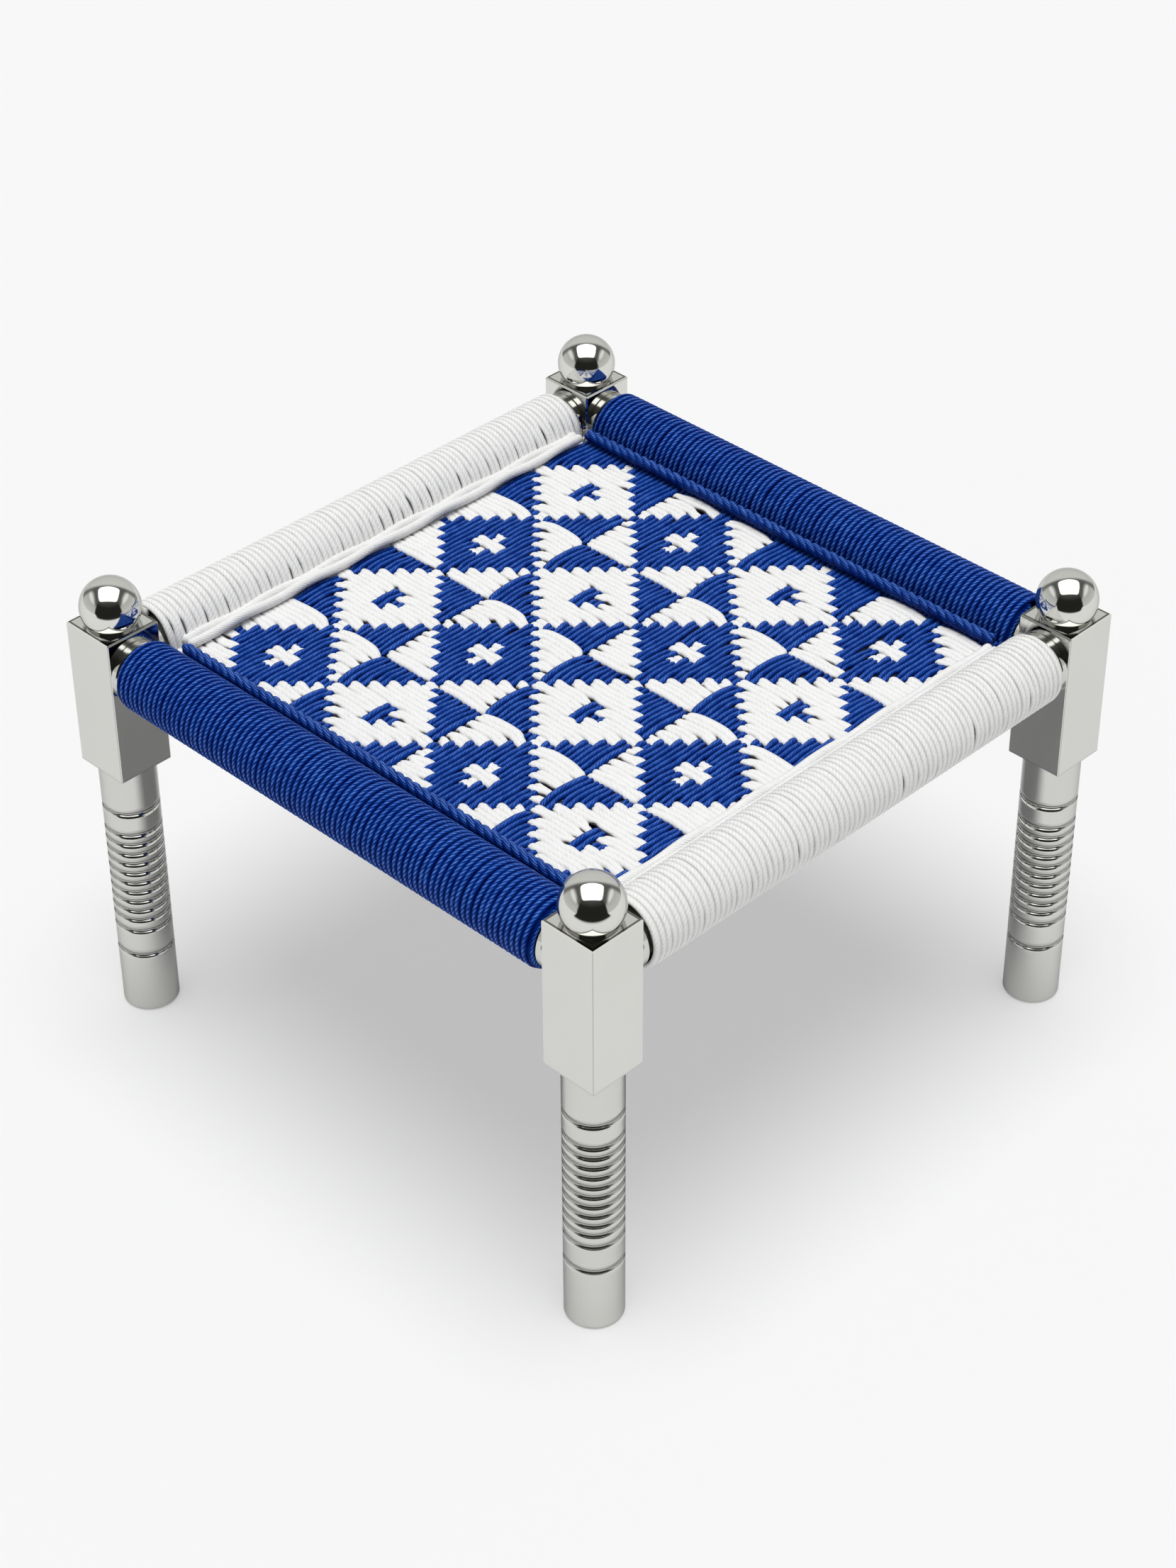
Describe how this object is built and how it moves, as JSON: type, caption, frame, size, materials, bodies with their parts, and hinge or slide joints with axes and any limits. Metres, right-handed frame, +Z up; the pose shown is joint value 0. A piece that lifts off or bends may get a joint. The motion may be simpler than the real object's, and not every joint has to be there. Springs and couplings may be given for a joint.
{
  "type": "low woven stool",
  "caption": "Low square stool with turned, beaded steel legs, ball finials, cord-wound rails and a seat woven in white and blue diamonds.",
  "frame": {"origin": "on the floor at the middle of the stool, midway between the four legs", "axes": "+Z up; +X and +Y along the rails. The front leg stands at +X -Y, the right leg at +X +Y, the left leg at -X -Y, the back leg at -X +Y"},
  "size_m": [0.4556, 0.4556, 0.3262],
  "materials": {
    "polished_steel": "mirror-polished stainless steel",
    "inner_steel": "plain machined",
    "glide_rubber": "matt black",
    "white_cord": "smooth twisted polypropylene cord",
    "blue_cord": "smooth twisted polypropylene cord, slightly shiny"
  },
  "bodies": {
    "root": {"front_finial": "polished_steel", "left_finial": "polished_steel", "back_finial": "polished_steel", "right_finial": "polished_steel", "finial_studs": "inner_steel", "front_post_block": "polished_steel", "left_post_block": "polished_steel", "back_post_block": "polished_steel", "right_post_block": "polished_steel", "leg_studs": "inner_steel", "front_leg": "polished_steel", "left_leg": "polished_steel", "back_leg": "polished_steel", "right_leg": "polished_steel", "front_foot_glide": "glide_rubber", "left_foot_glide": "glide_rubber", "back_foot_glide": "glide_rubber", "right_foot_glide": "glide_rubber", "front_left_rail": "polished_steel", "back_left_rail": "polished_steel", "back_right_rail": "polished_steel", "front_right_rail": "polished_steel", "rail_plugs": "inner_steel", "rail_studs": "inner_steel", "front_left_rail_front_collar": "polished_steel", "front_left_rail_left_collar": "polished_steel", "back_left_rail_left_collar": "polished_steel", "back_left_rail_back_collar": "polished_steel", "back_right_rail_back_collar": "polished_steel", "back_right_rail_right_collar": "polished_steel", "front_right_rail_right_collar": "polished_steel", "front_right_rail_front_collar": "polished_steel", "front_left_winding": "blue_cord", "back_left_winding": "white_cord", "back_right_winding": "blue_cord", "front_right_winding": "white_cord", "white_seat_cords": "white_cord", "blue_seat_cords": "blue_cord", "front_left_edge_cord": "blue_cord", "back_left_edge_cord": "white_cord", "back_right_edge_cord": "blue_cord", "front_right_edge_cord": "white_cord"}
  },
  "joints": []
}
